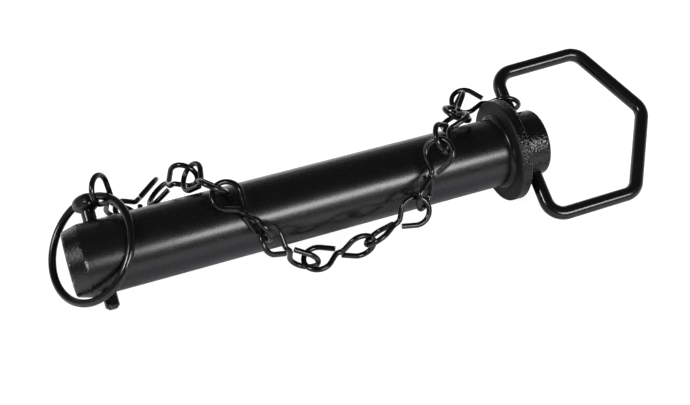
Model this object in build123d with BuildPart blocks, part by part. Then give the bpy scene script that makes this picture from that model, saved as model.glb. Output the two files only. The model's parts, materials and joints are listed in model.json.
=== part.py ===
from build123d import *
import math
import os

# A handle bolt: a turned pin with a welded collar, a folding wire handle through its head, a linch pin with a
# spring ring through its tip, and a chain of wire links that ties the linch pin to the handle.
# Millimetres. The origin is the centre of the collar's bearing face. The shank runs along X, its tip at -X and
# its head at +X. +Z is up as the bolt lies on a table, with its chain draped over it.

os.makedirs("parts", exist_ok=True)

# Shank: one turned bar, from the tip through the collar to the head
shank_length = 200.0  # bearing face to tip
shank_diameter = 32.0
tip_diameter = 28.0
tip_taper = 7.0
tip_round = 1.2
head_diameter = 31.0
head_stub = 14.5  # what stands out past the collar
head_round = 1.5

# Collar and its weld
collar_diameter = 48.0
collar_thickness = 5.5
collar_round = 0.8
collar_fit = 0.05
weld_leg = 2.0
weld_crown = 0.3

# Handle: one wire, bent to a pentagon, its ends sprung into the head from both sides
handle_wire = 6.4
handle_hole_clearance = 0.2
handle_hole_offset = 7.8  # from the collar's far face to the cross hole
handle_lean = 64.0  # of the cross hole, from +Z towards +Y
handle_swing = -4.8  # of the handle as it lies, about the cross hole
handle_end = 5.5  # from the shank's axis to each sprung end
handle_half_root = 37.4
handle_half_width = 37.5
handle_shoulder = 42.8
handle_reach = 63.0
handle_bend = 8.0

# Linch pin: a round stem and a forged head that carries the ring
linch_diameter = 6.0
linch_hole_clearance = 0.4
linch_hole_inset = 13.0  # from the tip
linch_lean = 60.0  # of the cross hole, from +Z towards +Y
linch_tail = 23.0  # from the shank's axis to the chamfered end
linch_chamfer = 1.2
linch_head_seat = 20.4  # from the shank's axis to the underside of the head
linch_head_height = 7.9
linch_head_width = 11.8
linch_head_depth = 8.6
linch_head_round = 2.2
linch_head_edge = 1.7
linch_turn = -40.0  # of the head's cross hole about the stem, from the shank's direction
ring_hole_height = 4.6  # from the head's underside
ring_hole_clearance = 0.4

# Ring: one spring wire, its two ends in the head's cross hole
ring_wire = 3.4
ring_radius = 22.85
ring_bend = 6.0
ring_stub = 5.8
ring_end = 2.5
ring_rest = -11.0  # of the closed ring about its hole, from straight down the stem

# Chain: wire links, each with two open eyes at right angles to each other
chain_wire = 2.4
link_half_length = 16.0
link_eye_radius = 6.2
link_eye_rise = 0.6
link_waist = 1.5
link_waist_bend = 3.0
link_free_end = 1.2
link_tuck = 2.6  # from the waist to the end tucked beside it, centre to centre

# Route of the chain as it lies: one link between each two points. A point is its place along the shank, its
# lean round the shank from +Z towards +Y in degrees, and how far it stands off the shank's surface. Each link
# is also rolled about its own length, in degrees, so that its eyes lie square to its neighbours'.
# The first two links hang from the ring, their places along the shank counted from the linch pin's hole.
linch_chain_route = [
    (6.0, 41, 12.5),
    (14.5, 93, 6.0),
    (29.0, 100, 26.0),
]
linch_chain_rolls = [-50, 145]
# The others lie over the shank and end round the handle's arm, counted from the bearing face.
handle_chain_route = [
    (-156.5, 98, 16.5),
    (-141.5, 60, 10.0),
    (-133.5, -3, 7.0),
    (-119.5, -63, 10.5),
    (-104.0, -106, 12.5),
    (-74.5, -101, 12.0),
    (-49.5, -79, 8.0),
    (-36.5, -23, 13.0),
    (-18.5, 22, 6.0),
    (-7.5, 73, 15.0),
    (16.0, 64, 5.0),
]
handle_chain_rolls = [-180, 135, -10, 160, 0, 40, 95, -55, -20, -20]

# What follows from these
shank_radius = shank_diameter / 2
head_end = collar_thickness + head_stub
handle_hole_x = collar_thickness + handle_hole_offset
linch_hole_x = linch_hole_inset - shank_length


def leaning(angle):
    """Direction square to the shank, turned by angle from +Z towards +Y."""
    return Vector(0, math.sin(math.radians(angle)), math.cos(math.radians(angle)))


handle_axis = leaning(handle_lean)
linch_axis = leaning(linch_lean)
ring_axis = Vector(1, 0, 0).rotate(Axis((0, 0, 0), linch_axis), linch_turn)
ring_centre = Vector(linch_hole_x, 0, 0) + linch_axis * (linch_head_seat + ring_hole_height)

# Shank
with BuildPart() as shank:
    with BuildSketch(Plane.XZ):
        with BuildLine():
            Polyline(
                (-shank_length, 0),
                (-shank_length, tip_diameter / 2),
                (-shank_length + tip_taper, shank_radius),
                (0, shank_radius),
                (0, head_diameter / 2),
                (head_end, head_diameter / 2),
                (head_end, 0),
                close=True,
            )
        make_face()
    revolve(axis=Axis.X)
    fillet(shank.edges().filter_by(GeomType.CIRCLE).sort_by(Axis.X)[0], tip_round)
    fillet(shank.edges().filter_by(GeomType.CIRCLE).sort_by(Axis.X)[-1], head_round)
    with BuildSketch(Plane(origin=(handle_hole_x, 0, 0), z_dir=handle_axis)):
        Circle((handle_wire + handle_hole_clearance) / 2)
    extrude(amount=shank_diameter, both=True, mode=Mode.SUBTRACT)
    with BuildSketch(Plane(origin=(linch_hole_x, 0, 0), z_dir=linch_axis)):
        Circle((linch_diameter + linch_hole_clearance) / 2)
    extrude(amount=shank_diameter, both=True, mode=Mode.SUBTRACT)
shank.part.label = "shank"
export_step(shank.part, "parts/shank.step")

# Collar: a flat ring on the head's diameter, against the shank's shoulder
with BuildPart() as collar:
    with BuildSketch(Plane.YZ):
        Circle(collar_diameter / 2)
        Circle(head_diameter / 2 + collar_fit, mode=Mode.SUBTRACT)
    extrude(amount=collar_thickness)
    fillet(collar.edges().filter_by(GeomType.CIRCLE).group_by(SortBy.RADIUS)[-1], collar_round)
collar.part.label = "collar"
export_step(collar.part, "parts/collar.step")

# Fillet weld between the shank and the collar's bearing face
with BuildPart() as collar_weld:
    with BuildSketch(Plane.XZ):
        with BuildLine():
            Polyline((-weld_leg, shank_radius), (0, shank_radius), (0, shank_radius + weld_leg))
            ThreePointArc(
                (0, shank_radius + weld_leg),
                (-weld_leg / 2 - weld_crown, shank_radius + weld_leg / 2 + weld_crown),
                (-weld_leg, shank_radius),
            )
        make_face()
    revolve(axis=Axis.X)
collar_weld.part.label = "collar_weld"
export_step(collar_weld.part, "parts/collar_weld.step")

# Handle
handle_forward = Vector(1, 0, 0).rotate(Axis((0, 0, 0), handle_axis), handle_swing)
handle_plane = Plane(
    origin=(handle_hole_x, 0, 0), x_dir=handle_forward, z_dir=handle_forward.cross(handle_axis)
)
with BuildPart() as handle:
    with BuildLine(handle_plane) as handle_route:
        FilletPolyline(
            (0, handle_end),
            (0, handle_half_root),
            (handle_shoulder, handle_half_width),
            (handle_reach, 0),
            (handle_shoulder, -handle_half_width),
            (0, -handle_half_root),
            (0, -handle_end),
            radius=handle_bend,
        )
    with BuildSketch(Plane(origin=handle_route.line @ 0, z_dir=handle_route.line % 0)):
        Circle(handle_wire / 2)
    sweep(path=handle_route.line)
handle.part.label = "handle"
export_step(handle.part, "parts/handle.step")

# Linch pin: the stem along its cross hole, and a head that the ring's hole crosses
linch_plane = Plane(origin=(linch_hole_x, 0, 0), x_dir=ring_axis, z_dir=linch_axis)
head_middle = linch_head_seat + linch_head_height / 2
head_plane = Plane(
    origin=linch_plane.origin + linch_axis * head_middle, x_dir=ring_axis, z_dir=ring_axis.cross(linch_axis)
)
with BuildPart() as linch_pin:
    with BuildSketch(head_plane):
        RectangleRounded(linch_head_width, linch_head_height, linch_head_round)
    extrude(amount=linch_head_depth / 2, both=True)
    fillet(linch_pin.edges(), linch_head_edge)
    with BuildSketch(linch_plane.offset(-linch_tail)):
        Circle(linch_diameter / 2)
    extrude(amount=linch_tail + head_middle)
    chamfer(linch_pin.edges().filter_by(GeomType.CIRCLE).sort_by(Axis((0, 0, 0), linch_axis))[0], linch_chamfer)
    with BuildSketch(Plane(origin=ring_centre, z_dir=ring_axis)):
        Circle((ring_wire + ring_hole_clearance) / 2)
    extrude(amount=linch_head_width, both=True, mode=Mode.SUBTRACT)
linch_pin.part.label = "linch_pin"
export_step(linch_pin.part, "parts/linch_pin.step")

# Ring: two stubs in the head, a bend at each, and a hoop round the tip
ring_hang = (linch_axis * -1).rotate(Axis((0, 0, 0), ring_axis), ring_rest)
ring_plane = Plane(origin=ring_centre, x_dir=ring_axis, z_dir=ring_axis.cross(ring_hang))
hoop_centre = ring_bend + math.sqrt((ring_radius - ring_bend) ** 2 - ring_stub**2)
bend_share = ring_radius / (ring_radius - ring_bend)
bend_x = ring_stub * bend_share
bend_y = hoop_centre + (ring_bend - hoop_centre) * bend_share
with BuildPart() as linch_ring:
    with BuildLine(ring_plane) as ring_route:
        first_stub = Line((ring_end, 0), (ring_stub, 0))
        TangentArc((ring_stub, 0), (bend_x, bend_y), tangent=first_stub % 1)
        hoop = ThreePointArc((bend_x, bend_y), (0, hoop_centre + ring_radius), (-bend_x, bend_y))
        TangentArc((-bend_x, bend_y), (-ring_stub, 0), tangent=hoop % 1)
        Line((-ring_stub, 0), (-ring_end, 0))
    with BuildSketch(Plane(origin=ring_route.line @ 0, z_dir=ring_route.line % 0)):
        Circle(ring_wire / 2)
    sweep(path=ring_route.line)
linch_ring.part.label = "linch_ring"
export_step(linch_ring.part, "parts/linch_ring.step")


def eye_tangent(start, side):
    """Where a straight wire from start meets the link's eye, on its lower (-1) or upper (1) side."""
    middle = Vector(link_half_length - link_eye_radius, link_eye_rise)
    reach = middle - Vector(*start)
    straight = math.sqrt(reach.length**2 - link_eye_radius**2)
    turn = math.atan2(reach.Y, reach.X) + side * math.asin(link_eye_radius / reach.length)
    return (start[0] + straight * math.cos(turn), start[1] + straight * math.sin(turn))


def chain_link(name, centre, along, across):
    """One link: a wire bent to an eye in the plane of along and across, and a second eye square to it."""
    with BuildPart() as link:
        with BuildLine(Plane(origin=centre, x_dir=along, z_dir=along.cross(across))) as route:
            low = eye_tangent((link_waist, 0), -1)
            high = eye_tangent((link_free_end, link_tuck), 1)
            slope = math.atan2(-low[1], low[0] - link_waist)
            trim = link_waist_bend * math.tan(slope / 2)
            spine = link_waist - trim
            leg = (link_waist + trim * math.cos(slope), -trim * math.sin(slope))
            far = (link_half_length, link_eye_rise)
            # The first eye runs in towards the waist, in the plane of x and y
            Line((-link_free_end, link_tuck, 0), (-high[0], high[1], 0))
            ThreePointArc((-high[0], high[1], 0), (-far[0], far[1], 0), (-low[0], low[1], 0))
            run_in = Line((-low[0], low[1], 0), (-leg[0], leg[1], 0))
            TangentArc(run_in @ 1, (-spine, 0, 0), tangent=run_in % 1)
            waist = Line((-spine, 0, 0), (spine, 0, 0))
            # The second eye runs out again, in the plane of x and z
            TangentArc(waist @ 1, (leg[0], 0, -leg[1]), tangent=waist % 1)
            Line((leg[0], 0, -leg[1]), (low[0], 0, -low[1]))
            ThreePointArc((low[0], 0, -low[1]), (far[0], 0, -far[1]), (high[0], 0, -high[1]))
            Line((high[0], 0, -high[1]), (link_free_end, 0, -link_tuck))
        with BuildSketch(Plane(origin=route.line @ 0, z_dir=route.line % 0)):
            Circle(chain_wire / 2)
        sweep(path=route.line)
    link.part.label = name
    export_step(link.part, f"parts/{name}.step")
    return link.part


def on_shank(x, lean, stand_off):
    """A point of the chain's route, by its place along the shank, round it, and out from its surface."""
    return Vector(x, 0, 0) + leaning(lean) * (shank_radius + stand_off)


def lay_link(number, start, end, roll):
    """Put one link between two points of the route, rolled about its own length."""
    along = (end - start).normalized()
    level = Vector(0, 0, 1).cross(along).normalized()
    upright = along.cross(level)
    normal = upright * math.cos(math.radians(roll)) + level * math.sin(math.radians(roll))
    return chain_link(f"chain_link_{number:02d}", (start + end) / 2, along, normal.cross(along))


linch_points = [on_shank(linch_hole_x + x, lean, stand_off) for x, lean, stand_off in linch_chain_route]
handle_points = [on_shank(*point) for point in handle_chain_route]
linch_spans = list(zip(linch_points, linch_points[1:], linch_chain_rolls))
handle_spans = list(zip(handle_points, handle_points[1:], handle_chain_rolls))
for number, (start, end, roll) in enumerate(linch_spans + handle_spans, start=1):
    lay_link(number, start, end, roll)
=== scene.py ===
import json
import logging
import math
from dataclasses import dataclass
from enum import Enum
from typing import Any, ClassVar, Union

import bmesh
import bpy
from mathutils import Matrix, Vector, noise

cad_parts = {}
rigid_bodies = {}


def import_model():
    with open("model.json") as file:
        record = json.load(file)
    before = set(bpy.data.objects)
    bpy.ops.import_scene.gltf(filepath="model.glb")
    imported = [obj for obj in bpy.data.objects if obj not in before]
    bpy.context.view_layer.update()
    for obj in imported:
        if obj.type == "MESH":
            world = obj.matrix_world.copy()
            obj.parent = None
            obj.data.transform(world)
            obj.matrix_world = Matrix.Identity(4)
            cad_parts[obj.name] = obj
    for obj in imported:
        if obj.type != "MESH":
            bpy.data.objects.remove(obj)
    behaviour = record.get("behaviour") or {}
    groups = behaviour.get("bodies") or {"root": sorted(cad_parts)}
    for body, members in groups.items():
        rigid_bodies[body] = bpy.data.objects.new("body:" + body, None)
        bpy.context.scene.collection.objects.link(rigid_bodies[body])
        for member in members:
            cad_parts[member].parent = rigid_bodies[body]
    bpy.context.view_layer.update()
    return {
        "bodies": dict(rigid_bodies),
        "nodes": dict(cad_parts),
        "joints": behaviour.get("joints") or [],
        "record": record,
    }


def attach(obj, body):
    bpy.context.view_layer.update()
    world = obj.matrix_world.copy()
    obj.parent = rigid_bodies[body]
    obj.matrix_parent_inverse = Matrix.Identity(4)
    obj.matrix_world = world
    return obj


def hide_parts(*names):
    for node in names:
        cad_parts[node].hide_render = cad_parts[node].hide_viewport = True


# Dresses the handle bolt: black paint of several kinds over turned, welded, forged and drawn steel.

LOG = logging.getLogger("handle_bolt")

Colour = tuple[float, float, float]
Span = tuple[float, float]
Term = Union["Value", float]

WHITE: Colour = (1.0, 1.0, 1.0)

# Where a Mix node set to colours has its two colours and its result
MIX_COLOUR_A = 6
MIX_COLOUR_B = 7
MIX_COLOUR_RESULT = 2


class Coarse(Enum):
    """Where a coat is coarse, as paint is over a sawn, forged or unmachined face."""

    NOWHERE = "nowhere"
    TIP_AND_HEAD = "tip and head"
    COLLAR_RIM = "collar's rim"


@dataclass(frozen=True)
class Value:
    """A number that varies over a surface: one output socket, with arithmetic that adds Math nodes.

    Args:
        graph: The graph that the socket is in.
        socket: The output socket.
    """

    graph: "Graph"
    socket: Any

    def _math(self, operation: str, *terms: Term) -> "Value":
        """Add one Math node.

        Args:
            operation: The Math node's operation.
            terms: Its inputs, in order.

        Returns:
            The node's result.
        """
        return self.graph.node("ShaderNodeMath", {"operation": operation}, dict(enumerate(terms)))

    def __add__(self, other: Term) -> "Value":
        """Sum."""
        return self._math("ADD", self, other)

    def __radd__(self, other: float) -> "Value":
        """Sum, reflected."""
        return self._math("ADD", other, self)

    def __sub__(self, other: Term) -> "Value":
        """Difference."""
        return self._math("SUBTRACT", self, other)

    def __rsub__(self, other: float) -> "Value":
        """Difference, reflected."""
        return self._math("SUBTRACT", other, self)

    def __mul__(self, other: Term) -> "Value":
        """Product."""
        return self._math("MULTIPLY", self, other)

    def __rmul__(self, other: float) -> "Value":
        """Product, reflected."""
        return self._math("MULTIPLY", other, self)

    def max(self, other: Term) -> "Value":
        """The larger of two."""
        return self._math("MAXIMUM", self, other)

    def step(self, low: float, high: float) -> "Value":
        """Turn smoothly from 0 at low to 1 at high.

        Args:
            low: Where the result is 0.
            high: Where the result is 1. It may be below low.

        Returns:
            The eased share.
        """
        return self.graph.node(
            "ShaderNodeMapRange",
            {"interpolation_type": "SMOOTHSTEP", "clamp": True},
            {"Value": self, "From Min": low, "From Max": high},
        )


@dataclass(frozen=True)
class Texture:
    """Soft noise of one size.

    Args:
        size: Length of one feature in metres.
        detail: Octaves on top of the first.
        roughness: How strong each octave is against the one before.
    """

    size: float
    detail: float
    roughness: float = 0.5


class Graph:
    """A node tree and the few ways in which this file adds to it."""

    def __init__(self, tree: bpy.types.NodeTree) -> None:
        """Take a tree and empty it.

        Args:
            tree: The node tree of a material or world.
        """
        self.tree = tree
        tree.nodes.clear()

    def node(
        self,
        kind: str,
        settings: dict[str, Any] | None = None,
        inputs: dict[str | int, Any] | None = None,
        output: str | int = 0,
    ) -> Value:
        """Add one node.

        Args:
            kind: The node's type.
            settings: Attributes of the node, set before its inputs.
            inputs: Input sockets by name or place, each a number, a colour or a Value to link.
            output: The output socket to return, by name or place.

        Returns:
            That output.
        """
        made = self.tree.nodes.new(kind)
        for name, setting in (settings or {}).items():
            setattr(made, name, setting)
        for key, given in (inputs or {}).items():
            socket = made.inputs[key]
            if isinstance(given, Value):
                self.tree.links.new(given.socket, socket)
            else:
                socket.default_value = given
        return Value(self, made.outputs[output] if made.outputs else None)

    def position(self) -> Value:
        """The point of the surface in the piece's own frame, in metres."""
        return self.node("ShaderNodeTexCoord", output="Object")

    def axis(self, point: Value, name: str) -> Value:
        """One coordinate of a point: X, Y or Z."""
        return self.node("ShaderNodeSeparateXYZ", inputs={0: point}, output=name)

    def noise(self, point: Value, texture: Texture) -> Value:
        """Soft noise from 0 to 1.

        Args:
            point: Where it is read.
            texture: Its size and character.

        Returns:
            The noise.
        """
        inputs = {
            "Vector": point,
            "Scale": 1.0 / texture.size,
            "Detail": texture.detail,
            "Roughness": texture.roughness,
        }
        return self.node("ShaderNodeTexNoise", {}, inputs)

    def cells(self, point: Value, size: float) -> Value:
        """Distance from the nearest of many scattered points, in cells.

        Args:
            point: Where it is read.
            size: Length of one cell in metres.

        Returns:
            The distance, 0 at a point.
        """
        return self.node("ShaderNodeTexVoronoi", {}, {"Vector": point, "Scale": 1.0 / size})

    def mix(self, share: Value, start: "Value | Colour", end: "Value | Colour") -> Value:
        """Blend two colours.

        Args:
            share: 0 for start, 1 for end.
            start: A colour, or a Value that carries one.
            end: The same.

        Returns:
            The blend.
        """
        ends = [given if isinstance(given, Value) else (*given, 1.0) for given in (start, end)]
        inputs = {0: share, MIX_COLOUR_A: ends[0], MIX_COLOUR_B: ends[1]}
        return self.node("ShaderNodeMix", {"data_type": "RGBA"}, inputs, MIX_COLOUR_RESULT)


@dataclass(frozen=True)
class RimWearAndPaintedHighlight:
    """A round rim where the coat gets knocked to bare steel; on the linch pin's tail that bare steel is
    partly knocked coat and partly a painted highlight on the chamfer.

    Args:
        foot: A point on the rim's axis, in metres.
        way: The axis, towards the rim.
        reach: How far along the axis from the foot the knocks begin and are thickest.
        radius: How far from the axis they begin and are thickest.
    """

    foot: tuple[float, float, float]
    way: tuple[float, float, float]
    reach: Span
    radius: Span

    def share(self, graph: Graph, point: Value) -> Value:
        """How far a point lies on the rim.

        Args:
            graph: The material's graph.
            point: Where it is read.

        Returns:
            A share from 0 to 1.
        """
        kind = "ShaderNodeVectorMath"
        arm = graph.node(kind, {"operation": "SUBTRACT"}, {0: point, 1: self.foot})
        along = graph.node(kind, {"operation": "DOT_PRODUCT"}, {0: arm, 1: self.way}, "Value")
        across = graph.node(kind, {"operation": "CROSS_PRODUCT"}, {0: arm, 1: self.way})
        out = graph.node(kind, {"operation": "LENGTH"}, {0: across}, "Value")
        return along.step(*self.reach) * out.step(*self.radius)


@dataclass(frozen=True)
class Paint:
    """A black coat on steel.

    The capital names hold for every coat: its textures, places along the shank, and how much each
    effect counts.

    Args:
        slot: The record's material slot that it belongs to.
        colour: The coat.
        dust: The coat where dust and rubbing have greyed it.
        gloss: Roughness of the smooth coat.
        matt: Roughness of the coarse coat.
        peel: Height of the orange peel in metres.
        grain: Height of the fine grain in metres.
        grit: Height of the coarse coat's lumps in metres.
        chips: Share of the coat that is chipped to bare steel, where it is exposed.
        ior: Refractive index of the coat.
        coarse: Where the coat is coarse.
        rim: The rim where the coat is knocked, if there is one. On the linch pin's tail its bare steel is
            partly a painted highlight on the chamfer.
    """

    slot: str
    colour: Colour = (0.0028, 0.0027, 0.0031)
    dust: Colour = (0.0062, 0.006, 0.0067)
    gloss: float = 0.27
    matt: float = 0.22
    peel: float = 0.000012
    grain: float = 0.000006
    grit: float = 0.00014
    chips: float = 0.02
    ior: float = 1.5
    coarse: Coarse = Coarse.NOWHERE
    rim: RimWearAndPaintedHighlight | None = None

    STEEL: ClassVar[Colour] = (0.26, 0.25, 0.245)

    ORANGE_PEEL: ClassVar[Texture] = Texture(0.0024, 2.0)
    FINE_GRAIN: ClassVar[Texture] = Texture(0.00055, 4.0, 0.6)
    CLOUDS: ClassVar[Texture] = Texture(0.016, 4.0, 0.6)
    RUBBING: ClassVar[Texture] = Texture(0.006, 6.0, 0.65)
    CHIPPING: ClassVar[Texture] = Texture(0.0017, 5.0, 0.6)
    WIDE_LUMPS: ClassVar[Texture] = Texture(0.0014, 3.0, 0.7)
    WIDE_CELL: ClassVar[float] = 0.001
    TIP_LUMPS: ClassVar[Texture] = Texture(0.0009, 3.0, 0.7)
    TIP_CELL: ClassVar[float] = 0.0007

    TIP_TAPER: ClassVar[Span] = (-0.1918, -0.1932)
    TIP_SHARE: ClassVar[float] = 0.85
    HEAD_FACE: ClassVar[Span] = (0.0052, 0.0058)
    COLLAR_FACE: ClassVar[Span] = (0.0003, 0.0009)

    RUBBED: ClassVar[Span] = (0.56, 0.72)
    CHIPPED: ClassVar[Span] = (0.74, 0.76)
    # How much more a rim is knocked to bare steel; on the linch pin's tail that bare steel is partly a
    # painted highlight on the chamfer.
    RIM_WEAR_AND_PAINTED_HIGHLIGHT: ClassVar[float] = 0.15
    COARSE_KNOCKS: ClassVar[float] = 0.035
    CHIP_DEPTH: ClassVar[float] = 0.00002
    DUST_ON_RUBBING: ClassVar[float] = 0.35
    DUST_IN_CLOUDS: ClassVar[float] = 0.2
    ROUGHER_BY_CLOUDS: ClassVar[float] = 0.10
    ROUGHER_BY_RUBBING: ClassVar[float] = 0.06
    ROUGHER_BY_GRAIN: ClassVar[float] = 0.10
    COARSE_BY_GRAIN: ClassVar[float] = 0.22

    def coarse_share(self, graph: Graph, point: Value) -> Value | float:
        """How far the coat is coarse at a point.

        Args:
            graph: The material's graph.
            point: Where it is read.

        Returns:
            A share from 0 to 1, and plain 0 where no part of the coat is coarse.
        """
        if self.coarse is Coarse.TIP_AND_HEAD:
            along = graph.axis(point, "X")
            tip = along.step(*self.TIP_TAPER) * self.TIP_SHARE
            return tip.max(along.step(*self.HEAD_FACE))
        if self.coarse is Coarse.COLLAR_RIM:
            return graph.axis(point, "X").step(*self.COLLAR_FACE)
        return 0.0

    def lumps(self, graph: Graph, point: Value) -> Value:
        """The coarse coat's lumps, which are finer on the tip.

        Args:
            graph: The material's graph.
            point: Where they are read.

        Returns:
            Their height, as a share of the grit.
        """
        wide = graph.cells(point, self.WIDE_CELL) + graph.noise(point, self.WIDE_LUMPS)
        if self.coarse is not Coarse.TIP_AND_HEAD:
            return wide
        fine = graph.cells(point, self.TIP_CELL) + graph.noise(point, self.TIP_LUMPS)
        return wide + (fine - wide) * graph.axis(point, "X").step(*self.TIP_TAPER)

    def material(self) -> bpy.types.Material:
        """Build the material.

        Returns:
            A node material named for its slot.
        """
        made = bpy.data.materials.new(self.slot)
        made.use_nodes = True
        graph = Graph(made.node_tree)
        point = graph.position()
        coarse = self.coarse_share(graph, point)
        is_coarse = self.coarse is not Coarse.NOWHERE

        peel = graph.noise(point, self.ORANGE_PEEL)
        grain = graph.noise(point, self.FINE_GRAIN)
        clouds = graph.noise(point, self.CLOUDS)
        rubbed = graph.noise(point, self.RUBBING).step(*self.RUBBED)

        knocks = grain * 0.5 + graph.noise(point, self.CHIPPING) * 0.5
        # Bare steel on a rim: knocked coat, and on the linch pin's tail partly a painted highlight on the
        # chamfer.
        if self.rim:
            knocks = knocks + self.rim.share(graph, point) * self.RIM_WEAR_AND_PAINTED_HIGHLIGHT
        if is_coarse:
            knocks = knocks + coarse * self.COARSE_KNOCKS
        chipped = knocks.step(*(level - self.chips for level in self.CHIPPED))

        dusty = rubbed * self.DUST_ON_RUBBING + clouds * self.DUST_IN_CLOUDS
        # Bare steel where the coat is chipped; at the linch pin's tail some of it is a painted highlight
        # on the chamfer.
        colour = graph.mix(chipped, graph.mix(dusty, self.colour, self.dust), self.STEEL)

        roughness = (
            (clouds - 0.5) * self.ROUGHER_BY_CLOUDS
            + rubbed * self.ROUGHER_BY_RUBBING
            + (grain - 0.5) * self.ROUGHER_BY_GRAIN
            + self.gloss
        )
        height = peel * self.peel + grain * self.grain
        if is_coarse:
            rough = (grain - 0.5) * self.COARSE_BY_GRAIN + self.matt
            roughness = roughness + (rough - roughness) * coarse
            height = height + self.lumps(graph, point) * coarse * self.grit
        height = height - chipped * self.CHIP_DEPTH
        normal = graph.node(
            "ShaderNodeBump", {}, {"Strength": 1.0, "Distance": 1.0, "Height": height}, "Normal"
        )
        coat = graph.node(
            "ShaderNodeBsdfPrincipled",
            {},
            {
                "Base Color": colour,
                "Metallic": chipped,
                "Roughness": roughness,
                "Normal": normal,
                "IOR": self.ior,
            },
        )
        graph.node("ShaderNodeOutputMaterial", {}, {"Surface": coat})
        return made


@dataclass
class PaintedSteel:
    """A sub-assembly whose solids keep their shape and get a coat.

    Args:
        label: What the log calls it.
        nodes: The solids in it.
        paint: The coat.
    """

    label: str
    nodes: tuple[str, ...]
    paint: Paint

    def dress(self, frame: dict[str, Any]) -> None:
        """Give each solid the coat.
        """
        material = self.paint.material()
        for name in self.nodes:
            solid = frame["nodes"][name]
            solid.data.materials.clear()
            solid.data.materials.append(material)
        LOG.info("%s: %d solids in %s", self.label, len(self.nodes), self.paint.slot)


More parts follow.
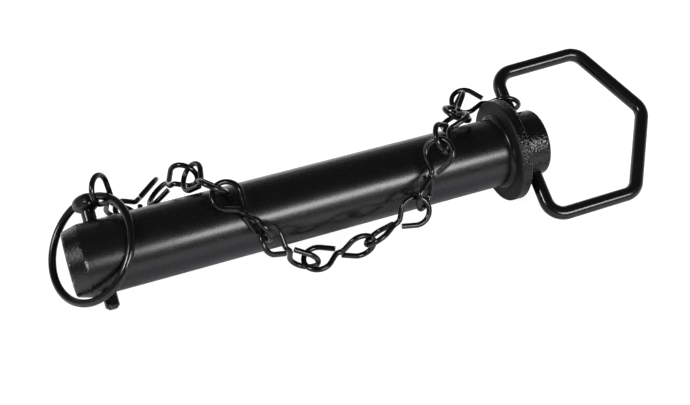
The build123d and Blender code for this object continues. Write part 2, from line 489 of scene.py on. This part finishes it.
@dataclass(frozen=True)
class ForgedPin:
    """The linch pin as it is forged: a round stem that swells to a lump, which the ring's hole crosses.

    It stands for the linch pin's solid, whose head is a plain rounded block of the same size.

    Args:
        label: What the log calls it.
        name: The piece's name.
        node: The solid that it stands for.
        body: The body that it rides on.
        paint: The coat.
        foot: Where the stem's axis meets the shank's, in metres.
        lean: Lean of the stem from +Z towards +Y, in degrees.
        turn: Turn of the ring's hole about the stem, from +X, in degrees.
        stem: The stem's radius.
        tail: How far the stem reaches below the foot.
        chamfer: Chamfer at the tail.
        seat: Height of the lump's underside above the foot.
        crown: Height of its top.
        half_width: Half its width, along the ring's hole.
        half_depth: Half its depth, across the hole.
        hole_height: Height of the ring's hole.
        hole: The hole's radius.
        unevenness: Height of the hammered unevenness.
    """

    label: str
    name: str
    node: str
    body: str
    paint: Paint
    foot: Vector = Vector((-0.187, 0.0, 0.0))
    lean: float = 60.0
    turn: float = -40.0
    stem: float = 0.003
    tail: float = 0.023
    chamfer: float = 0.0012
    seat: float = 0.0204
    crown: float = 0.0283
    half_width: float = 0.0059
    half_depth: float = 0.0043
    hole_height: float = 0.025
    hole: float = 0.0019
    unevenness: float = 0.0002

    SIDES: ClassVar[int] = 96
    ROUNDING: ClassVar[float] = 2.5
    CORNERS: ClassVar[float] = 2.6
    NECK_BLEND: ClassVar[float] = 5.0
    NECK_START: ClassVar[float] = 0.0025
    LUMP_START: ClassVar[float] = 0.0012
    LUMP_STEPS: ClassVar[int] = 24
    CROWN_STEPS: ClassVar[int] = 28
    HAMMERING: ClassVar[float] = 420.0
    SMOOTH_ANGLE: ClassVar[float] = 38.0
    DRILL_SIDES: ClassVar[int] = 64
    DRILL_LENGTH: ClassVar[float] = 0.02

    def axes(self) -> Matrix:
        """The pin's own axes: the hole's direction, the depth's and the stem's.

        Returns:
            A matrix from the pin's frame to the part's.
        """
        lean = math.radians(self.lean)
        way = Vector((0.0, math.sin(lean), math.cos(lean)))
        hole = Matrix.Rotation(math.radians(self.turn), 3, way) @ Vector((1.0, 0.0, 0.0))
        turned = Matrix((hole, way.cross(hole), way)).transposed()
        return Matrix.Translation(self.foot) @ turned.to_4x4()

    def half_sizes(self, height: float) -> tuple[float, float, float]:
        """The section at a height.

        Args:
            height: Above the foot.

        Returns:
            Half its width, half its depth, and how square it is, from 2 for an ellipse upwards.
        """
        middle, half = (self.seat + self.crown) / 2, (self.crown - self.seat) / 2
        share = (height - middle) / half
        swell = max(0.0, 1.0 - abs(share) ** self.ROUNDING) ** (1.0 / self.ROUNDING)
        sizes = [self.half_width * swell, self.half_depth * swell]
        if share < 0.0:
            blend = self.NECK_BLEND
            sizes = [(size**blend + self.stem**blend) ** (1.0 / blend) for size in sizes]
        cut = max(0.0, self.chamfer - (height + self.tail))
        return sizes[0] - cut, sizes[1] - cut, 2.0 + (self.CORNERS - 2.0) * swell

    def heights(self) -> list[float]:
        """Where the sections lie.

        Returns:
            Heights above the foot, from the tail to the crown.
        """
        end = -self.tail
        stem = [end, end + self.chamfer, end + 2 * self.chamfer, 0.0, self.seat - self.NECK_START]
        half = (self.crown - self.seat) / 2
        middle = self.seat + half
        quarter = math.pi / 2
        lump = [
            middle - (half + self.LUMP_START) * math.cos(quarter * step / self.LUMP_STEPS)
            for step in range(self.LUMP_STEPS + 1)
        ]
        top = [
            middle + half * math.sin(quarter * step / self.CROWN_STEPS)
            for step in range(1, self.CROWN_STEPS)
        ]
        return stem + lump + top

    def section(self, form: bmesh.types.BMesh, height: float) -> list[bmesh.types.BMVert]:
        """Add one section's points.

        Args:
            form: The mesh that they are added to.
            height: Above the foot.

        Returns:
            The points in order round the axis.
        """
        wide, deep, square = self.half_sizes(height)
        ring = []
        for side in range(self.SIDES):
            angle = 2 * math.pi * side / self.SIDES
            x, y = (
                size * math.copysign(abs(share) ** (2.0 / square), share)
                for size, share in ((wide, math.cos(angle)), (deep, math.sin(angle)))
            )
            spot = Vector((x, y, height))
            if height > self.seat:
                dent = noise.noise(spot * self.HAMMERING) * self.unevenness
                spot += Vector((x, y, 0.0)).normalized() * dent
            ring.append(form.verts.new(spot))
        return ring

    def forging(self) -> bpy.types.Mesh:
        """The pin before its hole is drilled, in its own axes.

        Returns:
            A closed mesh.
        """
        form = bmesh.new()
        rings = [self.section(form, height) for height in self.heights()]
        for low, high in zip(rings, rings[1:]):
            for side in range(self.SIDES):
                after = (side + 1) % self.SIDES
                form.faces.new((low[side], low[after], high[after], high[side]))
        form.faces.new(list(reversed(rings[0])))
        form.faces.new(rings[-1])
        return self.finished(form, self.name)

    def drill(self) -> bpy.types.Mesh:
        """The tool that bores the ring's hole, in the pin's own axes.

        Returns:
            A closed mesh.
        """
        form = bmesh.new()
        across = Matrix.Rotation(math.pi / 2, 4, "Y")
        bmesh.ops.create_cone(
            form,
            cap_ends=True,
            segments=self.DRILL_SIDES,
            radius1=self.hole,
            radius2=self.hole,
            depth=self.DRILL_LENGTH,
            matrix=Matrix.Translation((0.0, 0.0, self.hole_height)) @ across,
        )
        return self.finished(form, "drill")

    @staticmethod
    def finished(form: bmesh.types.BMesh, name: str) -> bpy.types.Mesh:
        """Turn an edited mesh into a kept one.

        Args:
            form: The edited mesh, which is freed.
            name: The kept mesh's name.

        Returns:
            The kept mesh.
        """
        mesh = bpy.data.meshes.new(name)
        form.to_mesh(mesh)
        form.free()
        return mesh

    def build(self) -> None:
        """Make the piece, pierce it and coat it."""
        pin = bpy.data.objects.new(self.name, self.forging())
        cutter = bpy.data.objects.new("drill", self.drill())
        for made in (cutter, pin):
            bpy.context.scene.collection.objects.link(made)
        bore = pin.modifiers.new("bore", "BOOLEAN")
        bore.operation = "DIFFERENCE"
        bore.solver = "EXACT"
        bore.object = cutter
        evaluated = pin.evaluated_get(bpy.context.evaluated_depsgraph_get())
        pierced = bpy.data.meshes.new_from_object(evaluated)
        pin.modifiers.clear()
        pin.data = pierced
        bpy.data.objects.remove(cutter)

        pierced.transform(self.axes())
        pierced.polygons.foreach_set("use_smooth", [True] * len(pierced.polygons))
        pierced.set_sharp_from_angle(angle=math.radians(self.SMOOTH_ANGLE))
        pierced.materials.clear()
        pierced.materials.append(self.paint.material())
        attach(pin, self.body)
        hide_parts(self.node)
        LOG.info("%s: %d faces for %s", self.label, len(pierced.polygons), self.node)


@dataclass
class Softbox:
    """A soft lamp.

    Args:
        name: Its name.
        place: Where it stands, in metres.
        aim: What it points at.
        width: Its longer side.
        height: Its shorter side.
        power: In watts.
        in_gloss: Whether it shows in reflections.
    """

    name: str
    place: Vector
    aim: Vector
    width: float
    height: float
    power: float
    in_gloss: bool = True

    def build(self) -> None:
        """Add the lamp to the scene."""
        data = bpy.data.lights.new(self.name, "AREA")
        data.shape = "RECTANGLE"
        data.size = self.width
        data.size_y = self.height
        data.energy = self.power
        lamp = bpy.data.objects.new(self.name, data)
        bpy.context.scene.collection.objects.link(lamp)
        lamp.location = self.place
        lamp.rotation_euler = (self.aim - self.place).to_track_quat("-Z", "Y").to_euler()
        lamp.visible_glossy = self.in_gloss
        lamp.visible_camera = False
        LOG.info("lamp %s, %.0f W", self.name, self.power)


@dataclass
class Studio:
    """Floor, sky, lamps and camera.

    Args:
        rim_z: Height of the floor under the collar, in metres.
        rise: How much the floor rises for each metre towards the tip, because the bolt lies on its collar
            and its tip, and the shank is level in the part's frame.
        half_size: Half the floor's side.
        eye: The camera's place.
        heading: The camera's direction from +Y towards +X, in degrees.
        dip: How far the camera looks down, in degrees.
        focal_pixels: The focal length in pixels of the picture.
        picture_width: The picture's width in pixels.
        table: Colour of the floor.
        glow: Strength of the white that the camera sees on the floor.
        glow_share: How much of what the camera sees there is that white.
        dark: Strength of the room's light overhead.
        bright: What is added to it near the horizon.
        horizon: Between which heights of the sky it falls off.
    """

    rim_z: float = -0.024
    rise: float = 0.041
    half_size: float = 4.0
    eye: Vector = Vector((-0.1816, -0.2816, 0.3044))
    heading: float = 20.46
    dip: float = 46.0
    focal_pixels: float = 950.0
    picture_width: float = 690.0
    table: Colour = (0.86, 0.835, 0.88)
    glow: float = 1.25
    glow_share: float = 0.75
    dark: float = 0.045
    bright: float = 0.26
    horizon: Span = (0.55, 0.25)

    SENSOR_WIDTH: ClassVar[float] = 36.0
    CLIP: ClassVar[Span] = (0.01, 50.0)

    def floor(self) -> None:
        """Lay the floor, white to the camera apart from the object's shadow."""
        side = self.half_size
        plan = ((-side, -side), (side, -side), (side, side), (-side, side))
        corners = [(x, y, self.rim_z - self.rise * x) for x, y in plan]
        mesh = bpy.data.meshes.new("floor")
        mesh.from_pydata(corners, [], [(0, 1, 2, 3)])
        floor = bpy.data.objects.new("floor", mesh)
        bpy.context.scene.collection.objects.link(floor)
        material = bpy.data.materials.new("white_table")
        material.use_nodes = True
        graph = Graph(material.node_tree)
        matt = graph.node("ShaderNodeBsdfDiffuse", {}, {"Color": (*self.table, 1.0)})
        white = graph.node("ShaderNodeEmission", {}, {"Color": (*WHITE, 1.0), "Strength": self.glow})
        seen = graph.node("ShaderNodeLightPath", output="Is Camera Ray")
        both = graph.node("ShaderNodeMixShader", {}, {0: seen * self.glow_share, 1: matt, 2: white})
        graph.node("ShaderNodeOutputMaterial", {}, {"Surface": both})
        mesh.materials.append(material)

    def sky(self) -> None:
        """A dim room, brighter near the horizon, that the camera sees as white."""
        world = bpy.data.worlds.new("room")
        bpy.context.scene.world = world
        world.use_nodes = True
        graph = Graph(world.node_tree)
        up = graph.axis(graph.node("ShaderNodeTexCoord", output="Generated"), "Z")
        room = self.dark + up.step(*self.horizon) * self.bright
        seen = graph.node("ShaderNodeLightPath", output="Is Camera Ray")
        strength = room + (1.0 - room) * seen
        light = graph.node("ShaderNodeBackground", {}, {"Color": (*WHITE, 1.0), "Strength": strength})
        graph.node("ShaderNodeOutputWorld", {}, {"Surface": light})

    def lamps(self) -> None:
        """Set the lamps.

        A strip draws the bright band along the shank, a box at the side glints on the wires, and a wide
        lamp behind softens the dark side.
        """
        middle = Vector((-0.09, 0.0, 0.0))
        band = Vector((0.24, -0.80, 0.55)).normalized() * 1.15
        side = Vector((-0.76, -0.11, 0.64)) * 1.2
        back = Vector((-0.1, 1.05, 0.85))
        for lamp in (
            Softbox("strip", middle + band, middle, width=0.62, height=0.26, power=9.0),
            Softbox("side", middle + side, middle, width=0.32, height=0.2, power=5.4),
            Softbox("behind", back, middle, width=1.6, height=0.5, power=24.0, in_gloss=False),
        ):
            lamp.build()

    def camera(self) -> None:
        """Set the camera where the photograph was taken from."""
        turn, down = math.radians(self.heading), math.radians(self.dip)
        level = math.cos(down)
        right = Vector((math.cos(turn), -math.sin(turn), 0.0))
        ahead = Vector((level * math.sin(turn), level * math.cos(turn), -math.sin(down)))
        up = right.cross(ahead)
        data = bpy.data.cameras.new("camera")
        data.sensor_width = self.SENSOR_WIDTH
        data.lens = self.focal_pixels / self.picture_width * data.sensor_width
        data.clip_start, data.clip_end = self.CLIP
        camera = bpy.data.objects.new("camera", data)
        bpy.context.scene.collection.objects.link(camera)
        axes = Matrix((right, up, -ahead)).transposed()
        camera.matrix_world = Matrix.Translation(self.eye) @ axes.to_4x4()
        bpy.context.scene.camera = camera

    def build(self) -> None:
        """Build all of it."""
        self.floor()
        self.sky()
        self.lamps()
        self.camera()
        bpy.context.scene.view_settings.view_transform = "Standard"
        LOG.info("studio built")


def assemblies() -> list[PaintedSteel]:
    """The bolt's sub-assemblies and their coats.

    Returns:
        One entry for each finish.
    """
    tip = RimWearAndPaintedHighlight((0.0, 0.0, 0.0), (-1.0, 0.0, 0.0), (0.1983, 0.1992), (0.0122, 0.0131))
    links = tuple(f"chain_link_{number:02d}" for number in range(1, 13))
    rough_ring = Paint("collar_paint", gloss=0.6, ior=1.4, grit=0.0002, coarse=Coarse.COLLAR_RIM)
    return [
        PaintedSteel("shank", ("shank",), Paint("shank_paint", coarse=Coarse.TIP_AND_HEAD, rim=tip)),
        PaintedSteel("collar", ("collar",), rough_ring),
        PaintedSteel("weld", ("collar_weld",), Paint("weld_paint", gloss=0.24, ior=1.4, peel=0.00006)),
        PaintedSteel("handle", ("handle",), Paint("handle_paint", gloss=0.2)),
        PaintedSteel("linch ring", ("linch_ring",), Paint("ring_finish", gloss=0.16)),
        PaintedSteel("chain", links, Paint("chain_finish", gloss=0.18)),
    ]


def linch_pin() -> ForgedPin:
    """The linch pin, its coat knocked at the tail's rim, where the bare steel is partly a painted
    highlight on the chamfer.

    Returns:
        The piece, not yet built.
    """
    # The tail's rim: partly knocked coat and partly a painted highlight on the chamfer, both drawn as
    # bare steel.
    tail = RimWearAndPaintedHighlight((-0.187, 0.0, 0.0), (0.0, -0.866, -0.5), (0.0214, 0.0222), (0.0012, 0.0018))
    paint = Paint("linch_paint", gloss=0.25, rim=tail)
    return ForgedPin("linch pin", "linch_pin_forged", "linch_pin", "linch_pin", paint)


def main() -> None:
    """Load the frame, dress it and set the studio."""
    logging.basicConfig(level=logging.INFO, format="%(name)s %(message)s")
    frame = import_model()
    for assembly in assemblies():
        assembly.dress(frame)
    linch_pin().build()
    Studio().build()


if __name__ == "__main__":
    main()
